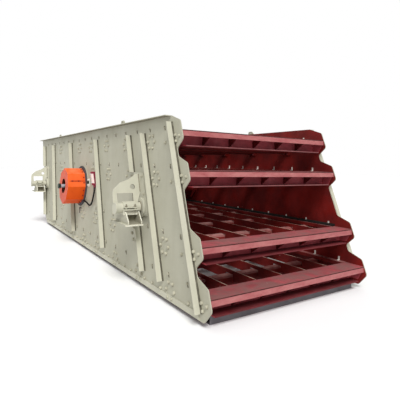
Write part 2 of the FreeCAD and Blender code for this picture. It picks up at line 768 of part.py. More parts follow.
def near_guard():
    """Eight-sided cover over the wheel, folded from plate, with a round opening for the shaft."""
    x, z = exciter_axis()
    end = GUARD_BASE + GUARD_DEPTH
    shell = polygon_prism(GUARD_RADIUS, GUARD_SIDES, 0.0, x, z, out(end), out(GUARD_BASE))
    inside = polygon_prism(GUARD_INNER_RADIUS, GUARD_SIDES, 0.0, x, z,
                           out(end - GUARD_WALL), out(GUARD_BASE))
    opening = drum(GUARD_OPENING, x, z, out(end), out(end - GUARD_WALL))
    return shell.cut(inside).cut(opening)


# Lubrication on the near side

def lubrication_block():
    """Slender block standing on the plate, with an elbow fitting at its foot."""
    half = BLOCK_WIDTH / 2
    low_u = BLOCK_BEFORE_EXCITER - EXCITER_BACK
    high_u = low_u - BLOCK_LEAN
    low = EXCITER_HEIGHT + BLOCK_RISE
    high = low + BLOCK_LENGTH
    body = skew_slab([(low_u - half, low), (high_u - half, high),
                      (high_u + half, high), (low_u + half, low)],
                     out(BLOCK_DEPTH), out(0))
    foot = block_foot()
    fitting = Part.makeCylinder(FITTING_RADIUS, FITTING_LENGTH, foot - V(0, 0, FITTING_LENGTH))
    return fuse_all([body, fitting])


def block_foot():
    low = EXCITER_HEIGHT + BLOCK_RISE
    return V(x_at(BLOCK_BEFORE_EXCITER - EXCITER_BACK, low), out(BLOCK_DEPTH / 2), z_at(low))


def hose_elbow():
    """Small fitting on the guard ring's face that the hose starts from."""
    x, z = exciter_axis()
    half = ELBOW_SIDE / 2
    return block(x + ELBOW_FRONT - ELBOW_SIDE, x + ELBOW_FRONT,
                 out(BLOCK_DEPTH / 2 + half), out(GUARD_BASE),
                 z - ELBOW_DROP - half, z - ELBOW_DROP + half)


def hose_route():
    """Points of the hose from the elbow on the guard ring to the block's fitting."""
    x, z = exciter_axis()
    y = out(BLOCK_DEPTH / 2)
    end = block_foot() - V(0, 0, FITTING_LENGTH)
    return [
        V(x + ELBOW_FRONT, y, z - ELBOW_DROP),
        V(x + 410.0, y, z - ELBOW_DROP),
        V(x + 548.0, y, z - 281.0),
        V(x + 655.0, y, z - 302.0),
        V(x + 727.0, y, z - 282.0),
        V(x + 784.0, y, z - 234.0),
        V(x + 820.0, y, z - 166.0),
        V(x + 852.0, y, z - 98.0),
        end - V(0, 0, HOSE_LAST_RUN),
        end,
    ]


def hose_section(centre, along):
    """Eight-sided face across the hose at this point."""
    side = V(0, 1, 0)
    up = along.cross(side)
    corners = []
    for index in range(9):
        angle = math.pi / 4 * index
        across = side * math.cos(angle) + up * math.sin(angle)
        corners.append(centre + across * HOSE_RADIUS)
    return Part.Face(Part.makePolygon(corners))


def hose_tube():
    """Straight runs joined by tangent arcs along the route."""
    points = hose_route()
    pieces = []
    here = points[0]
    for i in range(1, len(points) - 1):
        back = points[i - 1] - points[i]
        ahead = points[i + 1] - points[i]
        half = back.getAngle(ahead) / 2
        reach = 0.45 * min(back.Length, ahead.Length)
        back.normalize()
        ahead.normalize()
        first = points[i] + back * reach
        centre = points[i] + (back + ahead).normalize() * (reach / math.cos(half))
        print("hose bend radius %.0f" % (reach * math.tan(half)))
        along = back * -1
        pieces.append(hose_section(here, along).extrude(first - here))
        pieces.append(hose_section(first, along).revolve(centre, along.cross(ahead),
                                                         180.0 - math.degrees(2 * half)))
        here = points[i] + ahead * reach
    last = points[-1] - here
    pieces.append(hose_section(here, V(last).normalize()).extrude(last))
    return pieces[0].multiFuse(pieces[1:])


# Lifting lugs and skids

def near_lifting_lugs():
    lugs = []
    low = out(LUG_OFFSET + LUG_THICK)
    high = out(LUG_OFFSET)
    half = LUG_LENGTH / 2
    for back in LUGS:
        lug = skew_slab([(-back - half, PLATE_HEIGHT), (-back - half / 2, PLATE_HEIGHT + LUG_RISE),
                         (-back + half / 2, PLATE_HEIGHT + LUG_RISE), (-back + half, PLATE_HEIGHT)],
                        low, high)
        x = x_at(-back, PLATE_HEIGHT + LUG_RISE / 2)
        z = z_at(PLATE_HEIGHT + LUG_RISE / 2)
        lugs.append(lug.cut(drum(LUG_HOLE_RADIUS, x, z, low, high)))
    return lugs


def skid(x_front):
    half = HALF_WIDTH - SKID_END_GAP
    outside = block(x_front - SKID_WIDTH, x_front, -half, half, 0, SKID_HEIGHT)
    inside = block(x_front - SKID_WIDTH + SKID_WALL, x_front - SKID_WALL, -half, half,
                   SKID_WALL, SKID_HEIGHT - SKID_WALL)
    return outside.cut(inside)


def main():
    os.makedirs("parts", exist_ok=True)
    plate = near_side_plate()
    save("side_plate_near", [plate])
    save("side_plate_far", [mirrored(plate)])
    stiffeners = near_stiffeners()
    save("stiffeners_near", stiffeners)
    save("stiffeners_far", [mirrored(part) for part in stiffeners])
    strip = near_edge_strip()
    save("bottom_strip_near", [strip])
    save("bottom_strip_far", [mirrored(strip)])
    for index, deck in enumerate(DECK_HEIGHTS):
        number = str(index + 1)
        save("discharge_beam_" + number, [discharge_beam(deck)])
        save("discharge_lip_" + number, [discharge_lip(deck)])
        save("cross_tubes_" + number, [cross_tube(back, deck) for back in tube_places(index)])
        save("deck_bars_" + number, deck_bars(index))
        rail = near_side_rail(deck)
        save("side_rails_" + number, [rail, mirrored(rail)])
    save("feed_back_plate", [feed_back_plate()])
    brackets = [near_bracket(back) for back in BRACKETS.values()]
    save("support_brackets_near", brackets)
    save("support_brackets_far", [mirrored(bracket) for bracket in brackets])
    for place, back in BRACKETS.items():
        cap = near_clamp_cap(back)
        seat = near_spring_seat(back)
        save("clamp_cap_near_" + place, [cap])
        save("clamp_cap_far_" + place, [mirrored(cap)])
        save("spring_seat_near_" + place, [seat])
        save("spring_seat_far_" + place, [mirrored(seat)])
    save("exciter_tube", [exciter_tube()])
    pairs = {
        "bearing_housings": near_bearing_housing(),
        "guard_rings": near_guard_ring(),
        "eccentric_wheels": near_eccentric_wheel(),
    }
    for name, shape in pairs.items():
        save(name, [shape, mirrored(shape)])
    guard = near_guard()
    save("wheel_guard_near", [guard])
    save("wheel_guard_far", [mirrored(guard)])
    save("exciter_shaft", [exciter_shaft()])
    save("shaft_end_cap", [near_stub_cap()])
    save("lubrication_block", [lubrication_block()])
    save("hose_elbow", [hose_elbow()])
    save("grease_hose", [hose_tube()])
    lugs = near_lifting_lugs()
    save("lifting_lugs", lugs + [mirrored(lug) for lug in lugs])
    save("front_skid", [skid(lip_x(LOWEST_DECK) - FRONT_SKID_SETBACK)])
    rear_front = x_at(-PLATE_LENGTH + BACK_PLATE_SETBACK + BACK_PLATE_THICK + BOTTOM_FLANGE_WIDTH
                      - REAR_SKID_GAP, LOWER_FLANGE_BOTTOM)
    save("rear_skid", [skid(rear_front)])


main()
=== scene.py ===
import math

import bmesh
import bpy
from mathutils import Matrix, Vector


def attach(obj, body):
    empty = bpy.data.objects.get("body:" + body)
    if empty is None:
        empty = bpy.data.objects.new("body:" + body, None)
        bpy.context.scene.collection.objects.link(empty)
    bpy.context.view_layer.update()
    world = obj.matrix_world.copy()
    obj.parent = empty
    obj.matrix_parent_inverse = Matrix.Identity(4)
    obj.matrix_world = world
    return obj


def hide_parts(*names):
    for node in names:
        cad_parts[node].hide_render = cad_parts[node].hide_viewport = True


# Vibrating screen box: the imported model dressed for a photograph.
# Metres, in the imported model's own frame: +X discharge end, -Y near side.
# A place on a side plate is u and h: h above its foot, and u ahead of its slanted discharge
# edge, so that u is negative towards the feed end.

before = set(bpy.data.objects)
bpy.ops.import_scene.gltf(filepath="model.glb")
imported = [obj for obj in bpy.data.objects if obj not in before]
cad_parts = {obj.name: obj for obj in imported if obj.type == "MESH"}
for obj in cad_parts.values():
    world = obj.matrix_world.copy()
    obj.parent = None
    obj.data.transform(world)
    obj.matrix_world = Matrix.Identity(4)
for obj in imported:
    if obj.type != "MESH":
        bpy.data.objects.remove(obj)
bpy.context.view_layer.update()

# Sizes that the source part.py gives, in metres
SKEW = math.radians(20.0)
HALF_WIDTH = 1.2
PLATE_OUT = 1.212
PLATE_LENGTH = 7.3
PLATE_HEIGHT = 2.06
LIFT = 0.048
CENTRE_X = -4.18255
DECK_HEIGHTS = [1.868, 1.416, 0.669, 0.224]
TUBE_DROP = 0.105
FIRST_TUBE = 0.785
TUBE_PITCH = 0.825
TUBE_FLANGE_THICK = 0.014
TUBE_BOLT_CIRCLE = 0.088
FEED_BAY_LEAST = 0.4
RAIL_RISE = 0.016
LIP_SETBACK = 0.005
LIP_THICK = 0.014
TOP_PLATE_DEPTH = 0.265
EXCITER_BACK = 3.963
EXCITER_HEIGHT = 1.048
EXCITER_BAY_HALF = 0.702
PLATE_DISC_RADIUS = 0.40007
GUARD_RADIUS = 0.32507
GUARD_BASE = 0.026
GUARD_DEPTH = 0.312
HOUSING_FLANGE_FACE = 0.04
BRACKETS = (1.28, 6.99)
ARM_HEIGHT = 0.933
ARM_RADIUS = 0.065
DOUBLER_THICK = 0.012
DOUBLER_FOOT = 0.833
DOUBLER_HEAD = 1.37
GUSSET_PLATE_THICK = 0.016
EYE_RISE = 0.252
EYE_OUT = 0.115
EYE_RADIUS = 0.034
WINDOW_START = 0.12
WINDOW_END = 0.335
WINDOW_RISE = 0.177
LUGS = (1.578, 5.376)
LUG_THICK = 0.02
BLOCK_BEFORE_EXCITER = 0.898
BLOCK_RISE = 0.057
BLOCK_LENGTH = 0.226
BLOCK_LEAN = 0.05
BLOCK_DEPTH = 0.08
FITTING_LENGTH = 0.034
HOSE_RADIUS = 0.014

# Angle-bar stiffeners: the distance back of the standing leg, the foot and the head of each
STIFFENER_WIDTH = 0.08
STIFFENER_WALL = 0.008
STIFFENER_FOOT = 0.176
STIFFENER_HEAD = 1.885
STIFFENER_PAST_BRACKET = 0.13
EDGE_STIFFENER = (0.182, 0.078, 1.981)
FULL_STIFFENER_PLACES = (0.936, 2.859, 4.50874, 6.07)
STIFFENERS = [EDGE_STIFFENER]
for back in FULL_STIFFENER_PLACES:
    STIFFENERS.append((back, STIFFENER_FOOT, STIFFENER_HEAD))
for back in BRACKETS:
    STIFFENERS.append((back + STIFFENER_PAST_BRACKET, STIFFENER_FOOT, DOUBLER_FOOT))
    STIFFENERS.append((back + STIFFENER_PAST_BRACKET, DOUBLER_HEAD, STIFFENER_HEAD))

# Sizes of the dressing; each piece's foot sinks this far into what carries it
SINK = 0.001
DISC_BOLT_CLEAR = 0.03
DISC_SLOT_CLEAR = 0.06
BOLT_REACH = 0.02
TUBE_BOLTS = 6
TUBE_BOLT_RADIUS = 0.019
TUBE_NUT_RADIUS = 0.011
HOLD_DOWNS = 17
HOLD_DOWN_FIRST = 0.376
HOLD_DOWN_PITCH = 0.402
HOLD_DOWN_RISE = 0.048
HOLD_DOWN_LENGTH = 0.02
EDGE_BOLT_RADIUS = 0.018
LOBE_BOLTS = ((0.148, 0.048), (0.148, 0.116), (0.064, 0.057), (0.412, 0.124))
FOOT_BOLT_FIRST = 1.018
FOOT_BOLT_PITCH = 0.213
FOOT_BOLT_HEIGHT = 0.088
FOOT_BOLT_CLEAR = 0.13
FOOT_BOLT_END_CLEAR = 0.3
DOUBLER_BOLT_REACH = 0.118
DOUBLER_BOLT_RISES = (0.17, 0.39)
DOUBLER_BOLT_RADIUS = 0.016
GUSSET_WELD_RISES = (0.19, 0.42)
COLLAR_RADIUS = 0.122
COLLAR_DEPTH = 0.03
STUD_REACH = 0.096
STUD_PLACES = (0.148, 0.264)
STUD_EAR_FACE = 0.021
CLAMP_NUT_RADIUS = 0.0145
GUARD_STEP = math.pi / 4
GUARD_FLAT = GUARD_RADIUS * math.cos(GUARD_STEP / 2)
HOUSING_BOLT_CIRCLE = 0.25
HOUSING_BOLT_RADIUS = 0.015
GREASE_POINT_REACH = 0.438
GREASE_POINT_RISE = 0.078
BLOCK_OUTLETS = ((0.1, 0.028), (0.36, 0.012), (0.62, 0.012), (0.88, 0.028))
DRAIN_PLACE = (-4.085, 0.642)
LUG_HALF_WELD = 0.073

# Camera, solved from the straight edges of the box
CAMERA_PLACE = (7.0798, -3.3236, 1.5395)
CAMERA_RIGHT = (0.55129, 0.83403, 0.02155)
CAMERA_UP = (0.07904, -0.07792, 0.99382)
CAMERA_LENS = 33.785
CAMERA_SENSOR = 36.0
CAMERA_SHIFT_X = 0.0
CAMERA_SHIFT_Y = -0.1912
CAMERA_REACH = 200.0
WORLD_LEVEL = 0.42


def lean(h):
    return h * math.tan(SKEW)


def x_at(u, h):
    return u - lean(h) - CENTRE_X


def z_at(h):
    return h + LIFT


EXCITER_X = x_at(-EXCITER_BACK, EXCITER_HEIGHT)
EXCITER_Z = z_at(EXCITER_HEIGHT)


def side_name(side):
    return "near" if side < 0 else "far"


def side_point(u, h, distance, side):
    """Point this far out from a side plate's outer face."""
    return Vector((x_at(u, h), side * (PLATE_OUT + distance), z_at(h)))


def from_exciter(u, h):
    return math.hypot(x_at(u, h) - EXCITER_X, z_at(h) - EXCITER_Z)


def srgb(red, green, blue):
    """Linear colour of these 0 to 255 display values."""
    values = []
    for value in (red, green, blue):
        level = value / 255.0
        values.append(level / 12.92 if level <= 0.04045 else ((level + 0.055) / 1.055) ** 2.4)
    return (*values, 1.0)


# Materials

class Nodes:
    """Short ways to build one material's node tree."""

    def __init__(self, name):
        self.material = bpy.data.materials.new(name)
        self.material.use_nodes = True
        self.tree = self.material.node_tree
        self.shader = self.tree.nodes["Principled BSDF"]
        self.place = self.add("ShaderNodeTexCoord").outputs["Object"]

    def add(self, kind, **values):
        node = self.tree.nodes.new(kind)
        for key, value in values.items():
            setattr(node, key, value)
        return node

    def link(self, source, target):
        self.tree.links.new(source, target)

    def noise(self, scale, detail=4.0, roughness=0.55, stretch=(1.0, 1.0, 1.0)):
        mapping = self.add("ShaderNodeMapping")
        mapping.inputs["Scale"].default_value = stretch
        self.link(self.place, mapping.inputs["Vector"])
        noise = self.add("ShaderNodeTexNoise")
        noise.inputs["Scale"].default_value = scale
        noise.inputs["Detail"].default_value = detail
        noise.inputs["Roughness"].default_value = roughness
        self.link(mapping.outputs["Vector"], noise.inputs["Vector"])
        return noise.outputs["Fac"]

    def ramp(self, source, low, high, low_value=0.0, high_value=1.0):
        node = self.add("ShaderNodeMapRange", clamp=True)
        node.inputs["From Min"].default_value = low
        node.inputs["From Max"].default_value = high
        node.inputs["To Min"].default_value = low_value
        node.inputs["To Max"].default_value = high_value
        self.link(source, node.inputs["Value"])
        return node.outputs["Result"]

    def times(self, first, second):
        node = self.add("ShaderNodeMath", operation="MULTIPLY")
        for index, value in enumerate((first, second)):
            if isinstance(value, (int, float)):
                node.inputs[index].default_value = value
            else:
                self.link(value, node.inputs[index])
        return node.outputs[0]

    def mix(self, factor, first, second):
        """Mix of two colours, which are inputs 6 and 7 and output 2 of the node."""
        node = self.add("ShaderNodeMix", data_type="RGBA")
        self.link(factor, node.inputs["Factor"])
        for index, colour in ((6, first), (7, second)):
            if isinstance(colour, tuple):
                node.inputs[index].default_value = colour
            else:
                self.link(colour, node.inputs[index])
        return node.outputs[2]

    def coordinate(self, vector, letter):
        split = self.add("ShaderNodeSeparateXYZ")
        self.link(vector, split.inputs[0])
        return split.outputs[letter]

    def size_of(self, value):
        node = self.add("ShaderNodeMath", operation="ABSOLUTE")
        self.link(value, node.inputs[0])
        return node.outputs[0]

    def normal(self):
        return self.add("ShaderNodeNewGeometry").outputs["Normal"]

    def facing_up(self, low=0.5, high=0.95, low_value=0.0, high_value=1.0):
        """Share of a face that looks up."""
        return self.ramp(self.coordinate(self.normal(), "Z"), low, high, low_value, high_value)

    def facing_out(self, low, high):
        """Share of a face that looks sideways out of the box, on either side of it."""
        return self.ramp(self.size_of(self.coordinate(self.normal(), "Y")), low, high)

    def height(self, low, high, low_value=0.0, high_value=1.0):
        """Share that grows with the height above the floor."""
        return self.ramp(self.coordinate(self.place, "Z"), low, high, low_value, high_value)

    def sideways(self, low, high):
        """Share that grows with the distance from the box's middle plane."""
        return self.ramp(self.size_of(self.coordinate(self.place, "Y")), low, high)

    def bump(self, source, strength, distance):
        node = self.add("ShaderNodeBump")
        node.inputs["Strength"].default_value = strength
        node.inputs["Distance"].default_value = distance
        self.link(source, node.inputs["Height"])
        self.link(node.outputs["Normal"], self.shader.inputs["Normal"])

    def finish(self, colour, roughness, metallic=0.0, specular=0.35):
        self.link(colour, self.shader.inputs["Base Color"])
        if isinstance(roughness, (int, float)):
            self.shader.inputs["Roughness"].default_value = roughness
        else:
            self.link(roughness, self.shader.inputs["Roughness"])
        self.shader.inputs["Metallic"].default_value = metallic
        self.shader.inputs["Specular IOR Level"].default_value = specular
        return self.material


def dusty_paint(name, base, dust, spot, dust_amount):
    """Site paint with cloudy dust, runs down the faces and small dark specks."""
    nodes = Nodes(name)
    clouds = nodes.ramp(nodes.noise(1.6, 6.0, 0.6), 0.38, 0.66)
    runs = nodes.ramp(nodes.noise(9.0, 5.0, 0.6, (1.0, 1.0, 0.12)), 0.45, 0.7)
    specks = nodes.ramp(nodes.noise(34.0, 3.0, 0.7), 0.68, 0.76)
    colour = nodes.mix(nodes.times(clouds, dust_amount), base, dust)
    colour = nodes.mix(nodes.times(runs, 0.35), colour, dust)
    colour = nodes.mix(nodes.times(specks, 0.6), colour, spot)
    nodes.bump(nodes.noise(60.0, 4.0, 0.6), 0.12, 0.002)
    return nodes.finish(colour, nodes.ramp(clouds, 0.0, 1.0, 0.48, 0.72))


def outer_paint():
    return dusty_paint("outer_greige_paint", srgb(170, 168, 150), srgb(157, 154, 137),
                       srgb(106, 99, 85), dust_amount=0.5)


def rib_paint():
    return dusty_paint("rib_light_paint", srgb(186, 184, 166), srgb(172, 170, 152),
                       srgb(128, 118, 101), dust_amount=0.45)


def deck_paint(name="deck_red_oxide_paint", dust_colour=srgb(160, 116, 112), dust_amount=0.72,
               fresh=srgb(122, 20, 14), aged=srgb(92, 12, 10)):
    """Dark red oxide with grey-pink stone dust lying on what faces up."""
    nodes = Nodes(name)
    clouds = nodes.ramp(nodes.noise(2.4, 6.0, 0.62), 0.4, 0.62)
    colour = nodes.mix(clouds, fresh, aged)
    drift = nodes.ramp(nodes.noise(6.0, 6.0, 0.65), 0.28, 0.58)
    dust = nodes.times(nodes.facing_up(), drift)
    colour = nodes.mix(nodes.times(dust, dust_amount), colour, dust_colour)
    scuffs = nodes.ramp(nodes.noise(26.0, 4.0, 0.7, (1.0, 0.35, 1.0)), 0.64, 0.74)
    colour = nodes.mix(nodes.times(scuffs, 0.3), colour, srgb(158, 80, 72))
    splashes = nodes.ramp(nodes.noise(22.0, 2.0, 0.5), 0.79, 0.8)
    colour = nodes.mix(nodes.times(splashes, 0.7), colour, srgb(206, 190, 180))
    # Painted shade: faces that look down are darkened
    colour = nodes.mix(nodes.facing_up(-0.9, -0.4, 0.6, 0.0), colour, srgb(44, 8, 8))
    nodes.bump(nodes.noise(70.0, 4.0, 0.6), 0.15, 0.002)
    return nodes.finish(colour, nodes.ramp(drift, 0.0, 1.0, 0.42, 0.75))


def worn_lip():
    """Lip bars rubbed pale by the stone that leaves each deck."""
    nodes = Nodes("worn_lip_paint")
    along = nodes.ramp(nodes.noise(5.0, 6.0, 0.7, (1.0, 1.0, 3.0)), 0.35, 0.68)
    colour = nodes.mix(along, srgb(152, 76, 78), srgb(172, 108, 106))
    bare = nodes.ramp(nodes.noise(18.0, 5.0, 0.7, (1.0, 0.3, 1.0)), 0.6, 0.72)
    colour = nodes.mix(nodes.times(bare, 0.6), colour, srgb(128, 48, 50))
    nodes.bump(nodes.noise(50.0, 4.0, 0.65), 0.2, 0.002)
    return nodes.finish(colour, nodes.ramp(along, 0.0, 1.0, 0.4, 0.65))


def guard_paint():
    """Orange, deeper towards the floor as painted shade, dusty on top and rubbed on the outer face."""
    nodes = Nodes("guard_orange_paint")
    clouds = nodes.ramp(nodes.noise(5.0, 5.0, 0.6), 0.4, 0.65)
    colour = nodes.mix(clouds, srgb(230, 92, 20), srgb(216, 80, 12))
    low = nodes.height(0.72, 1.13, 1.0, 0.0)
    colour = nodes.mix(nodes.times(low, 0.85), colour, srgb(206, 68, 2))
    dust = nodes.times(nodes.facing_up(0.2, 0.9), nodes.ramp(nodes.noise(9.0, 5.0, 0.6), 0.3, 0.6))
    colour = nodes.mix(nodes.times(dust, 0.55), colour, srgb(234, 136, 92))
    patches = nodes.ramp(nodes.noise(13.0, 5.0, 0.6), 0.36, 0.6, 0.3, 1.0)
    worn = nodes.times(nodes.facing_out(0.8, 0.98), patches)
    colour = nodes.mix(nodes.times(worn, 0.8), colour, srgb(188, 84, 74))
    chips = nodes.ramp(nodes.noise(40.0, 3.0, 0.7), 0.7, 0.75)
    colour = nodes.mix(nodes.times(chips, 0.7), colour, srgb(140, 44, 20))
    nodes.bump(nodes.noise(80.0, 3.0, 0.6), 0.1, 0.001)
    return nodes.finish(colour, 0.5, specular=0.2)


def block_paint():
    """Maroon metering block with a pale cover along its outer side."""
    nodes = Nodes("maroon_block_paint")
    clouds = nodes.ramp(nodes.noise(30.0, 4.0, 0.6), 0.4, 0.65)
    colour = nodes.mix(clouds, srgb(132, 30, 56), srgb(108, 20, 44))
    foot = z_at(EXCITER_HEIGHT + BLOCK_RISE)
    head = foot + BLOCK_LENGTH
    margin = 0.034
    blend = 0.004
    above_foot = nodes.height(foot + margin, foot + margin + blend)
    below_head = nodes.height(head - margin - blend, head - margin, 1.0, 0.0)
    outer = nodes.sideways(PLATE_OUT + 0.044, PLATE_OUT + 0.047)
    cover = nodes.times(nodes.times(above_foot, below_head), outer)
    colour = nodes.mix(cover, colour, srgb(226, 204, 198))
    nodes.bump(nodes.noise(90.0, 4.0, 0.6), 0.15, 0.001)
    return nodes.finish(colour, 0.45)


def plain_paint(name, base, worn, roughness, metallic=0.0, scale=12.0, specular=0.35):
    """Two tones of one finish, cloudy, with fine grain."""
    nodes = Nodes(name)
    clouds = nodes.ramp(nodes.noise(scale, 5.0, 0.6), 0.38, 0.66)
    colour = nodes.mix(clouds, base, worn)
    nodes.bump(nodes.noise(scale * 8.0, 4.0, 0.6), 0.15, 0.001)
    return nodes.finish(colour, roughness, metallic, specular)


PAINT = {
    "outer": outer_paint(),
    "rib": rib_paint(),
    "deck": deck_paint(),
    "tube": deck_paint("dusty_tube_paint", srgb(190, 142, 136), 0.8),
    "bar": deck_paint("rubbed_bar_paint", srgb(206, 178, 160), 1.0),
    "beam": deck_paint("beam_red_paint", srgb(126, 86, 83), 0.9, srgb(180, 76, 84), srgb(146, 54, 62)),
    # Darker copy of the beam paint with little dust: painted shade on the lower flanges
    "sheltered": deck_paint("painted_shade_low_dust_beam_paint", srgb(132, 70, 72), 0.3,
                            srgb(98, 22, 28), srgb(78, 14, 18)),
    # Deeper red copy of the beam paint: painted shade on the gussets
    "gusset": deck_paint("painted_shade_gusset_paint", srgb(132, 70, 72), 0.3,
                         srgb(104, 10, 12), srgb(84, 8, 10)),
    "lip": worn_lip(),
    # Painted shade: the dark line in the step over each lip
    "lip_top": plain_paint("painted_shade_lip_tops", srgb(62, 20, 20), srgb(88, 44, 42), 0.8),
    "flange_edge": plain_paint("rubbed_flange_edges", srgb(128, 76, 76), srgb(100, 50, 52), 0.6),
    "guard": guard_paint(),
    "guard_inside": plain_paint("guard_inside_paint", srgb(20, 9, 6), srgb(14, 7, 6), 0.8),
    "guard_dark": plain_paint("dark_red_oxide", srgb(138, 18, 4), srgb(104, 12, 4), 0.6),
    "block": block_paint(),
    "maroon": plain_paint("maroon_paint", srgb(128, 30, 58), srgb(104, 20, 44), 0.45),
    "cap": plain_paint("cap_green_paint", srgb(28, 50, 36), srgb(18, 30, 24), 0.5),
    "mark": plain_paint("pale_brackets", srgb(232, 230, 222), srgb(206, 200, 190), 0.6),
    "bolt": plain_paint("painted_bolts", srgb(176, 173, 153), srgb(152, 148, 130), 0.6),
    "red_bolt": plain_paint("red_bolts", srgb(92, 20, 26), srgb(120, 60, 60), 0.5),
    "dark_bolt": plain_paint("oiled_bolts", srgb(70, 66, 60), srgb(104, 98, 88), 0.5),
    "slot": plain_paint("shaded_slots", srgb(74, 68, 58), srgb(104, 98, 84), 0.8),
    # Painted highlight on the spring seats' end edges
    "seat_edge": plain_paint("painted_highlight_seat_edges", srgb(222, 220, 204), srgb(204, 200, 182), 0.5),
    "seat_inside": plain_paint("shaded_seat_walls", srgb(160, 156, 138), srgb(134, 129, 110), 0.8),
    # Dark dirt on welds and nuts; also painted shade under the top flanges and painted shadow under bolts
    "crevice": plain_paint("weld_dirt_and_painted_shade", srgb(112, 106, 90), srgb(140, 134, 116), 0.8, scale=20.0),
    # Painted shadow along the stiffeners' feet
    "seam": plain_paint("painted_shadow_rib_seams", srgb(70, 66, 54), srgb(92, 88, 74), 0.8, scale=20.0),
    "skid": plain_paint("skid_grey_paint", srgb(112, 110, 114), srgb(96, 92, 96), 0.7, scale=4.0),
    "dark": plain_paint("dark_backing_paint", srgb(60, 60, 66), srgb(84, 80, 82), 0.7, specular=0.15),
    "casting": plain_paint("dark_casting", srgb(38, 38, 40), srgb(58, 54, 52), 0.62, specular=0.2),
    "rubber": plain_paint("hose_rubber", srgb(20, 20, 19), srgb(32, 30, 27), 0.7, specular=0.12),
    "steel": plain_paint("turned_steel", srgb(206, 206, 212), srgb(172, 172, 180), 0.34,
                         metallic=0.55, scale=30.0, specular=0.5),
}

# Paint of each CAD node, by how its name starts
NODE_PAINT = {
    "side_plate": "outer",
    "stiffeners": "rib",
    "bottom_strip": "rib",
    "discharge_beam": "beam",
    "discharge_lip": "lip",
    "cross_tubes": "tube",
    "deck_bars": "bar",
    "side_rails": "deck",
    "feed_back_plate": "deck",
    "exciter_tube": "deck",
    "support_brackets": "rib",
    "clamp_cap": "rib",
    "spring_seat": "rib",
    "wheel_guard": "guard",
    "guard_rings": "dark",
    "bearing_housings": "casting",
    "exciter_shaft": "steel",
    "eccentric_wheels": "casting",
    "shaft_end_cap": "cap",
    "hose_elbow": "casting",
    "lubrication_block": "block",
    "grease_hose": "rubber",
    "lifting_lugs": "outer",
    "front_skid": "skid",
    "rear_skid": "skid",
}


def paint_nodes():
    for name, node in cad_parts.items():
        key = next(paint for start, paint in NODE_PAINT.items() if name.startswith(start))
        node.data.materials.clear()
        node.data.materials.append(PAINT[key])


# Paint that differs from face to face

def paint_faces(mesh, paints, choose):
    """Add paints to a mesh; choose names the one for a face, or None for what it has."""
    first = len(mesh.materials)
    for paint in paints:
        mesh.materials.append(PAINT[paint])
    for face in mesh.polygons:
        paint = choose(face)
        if paint:
            face.material_index = first + paints.index(paint)


def looks(face, x=0, y=0, z=0):
    """Whether a face looks this way, within about 25 degrees."""
    return face.normal.dot(Vector((x, y, z))) > 0.9


def looks_ahead(face):
    """Whether a face looks more or less towards the discharge end."""
    return face.normal.x > 0.3


def looks_at_axis(face):
    """Whether a face looks towards the exciter's axis."""
    reach = Vector((face.center.x - EXCITER_X, 0, face.center.z - EXCITER_Z))
    return face.normal.dot(reach.normalized()) < -0.5


def shade_side_plates():
    """Side plates are red oxide towards the decks and in shade below their top flanges."""
    margin = 0.001
    flange_zone = 0.02
    for side in (-1, 1):
        def choose(face):
            across = looks(face, y=1) or looks(face, y=-1)
            if across and abs(face.center.y - side * HALF_WIDTH) < margin:
                return "deck"
            if looks(face, z=-1) and face.center.z > z_at(PLATE_HEIGHT) - flange_zone:
                return "crevice"
            return None

        paint_faces(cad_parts["side_plate_" + side_name(side)].data, ["deck", "crevice"], choose)


def shade_bores():
    """The gussets' holes and windows are darker on their cut edges: painted shade."""
    margin = 0.002
    above_arm = 0.005
    gusset_reach = 0.06
    for side in (-1, 1):
        def choose(face):
            out = abs(face.center.y) - PLATE_OUT
            rise = face.center.z - z_at(ARM_HEIGHT)
            in_window = (WINDOW_START - margin < out < WINDOW_END + margin
                         and ARM_RADIUS + above_arm < rise < WINDOW_RISE + margin
                         and abs(face.normal.x) < 0.5)
            for back in BRACKETS:
                offset = face.center - side_point(-back, ARM_HEIGHT + EYE_RISE, EYE_OUT, side)
                in_eye = math.hypot(offset.y, offset.z) < EYE_RADIUS + margin
                if abs(offset.x) < gusset_reach and (in_eye or in_window):
                    return "slot"
            return None

        paint_faces(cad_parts["support_brackets_" + side_name(side)].data, ["slot"], choose)


def shade_guard_insides():
    """The guards are dark inside, where no daylight reaches."""
    for side in (-1, 1):
        def choose(face):
            behind_front = looks(face, y=-side) and abs(face.center.y) > PLATE_OUT + GUARD_DEPTH / 2
            return "guard_inside" if behind_front or looks_at_axis(face) else None

        paint_faces(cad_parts["wheel_guard_" + side_name(side)].data, ["guard_inside"], choose)


def shade_seats():
    """The spring seats have end edges painted pale as a highlight, plain outer walls and shaded insides.
    """
    tray_height = 0.18
    outer_wall_reach = 0.06
    plain_floor_reach = 0.04
    for side in (-1, 1):
        for place in ("discharge", "feed"):
            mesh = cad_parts["spring_seat_" + side_name(side) + "_" + place].data
            spots = [vertex.co for vertex in mesh.vertices]
            middle = (min(spot.x for spot in spots) + max(spot.x for spot in spots)) / 2
            foot = min(spot.z for spot in spots)
            end = max(abs(spot.y) for spot in spots)

            def choose(face):
                reach = face.center.x - middle
                from_end = end - abs(face.center.y)
                if face.center.z - foot > tray_height:
                    return None
                if abs(face.normal.x) > 0.3 and reach * face.normal.x > 0.01:
                    return "seat_edge"
                if looks(face, y=side) and from_end < outer_wall_reach:
                    return "outer"
                if not looks(face, z=1) or from_end > plain_floor_reach:
                    return "seat_inside"
                return None

            paint_faces(mesh, ["seat_edge", "seat_inside", "outer"], choose)


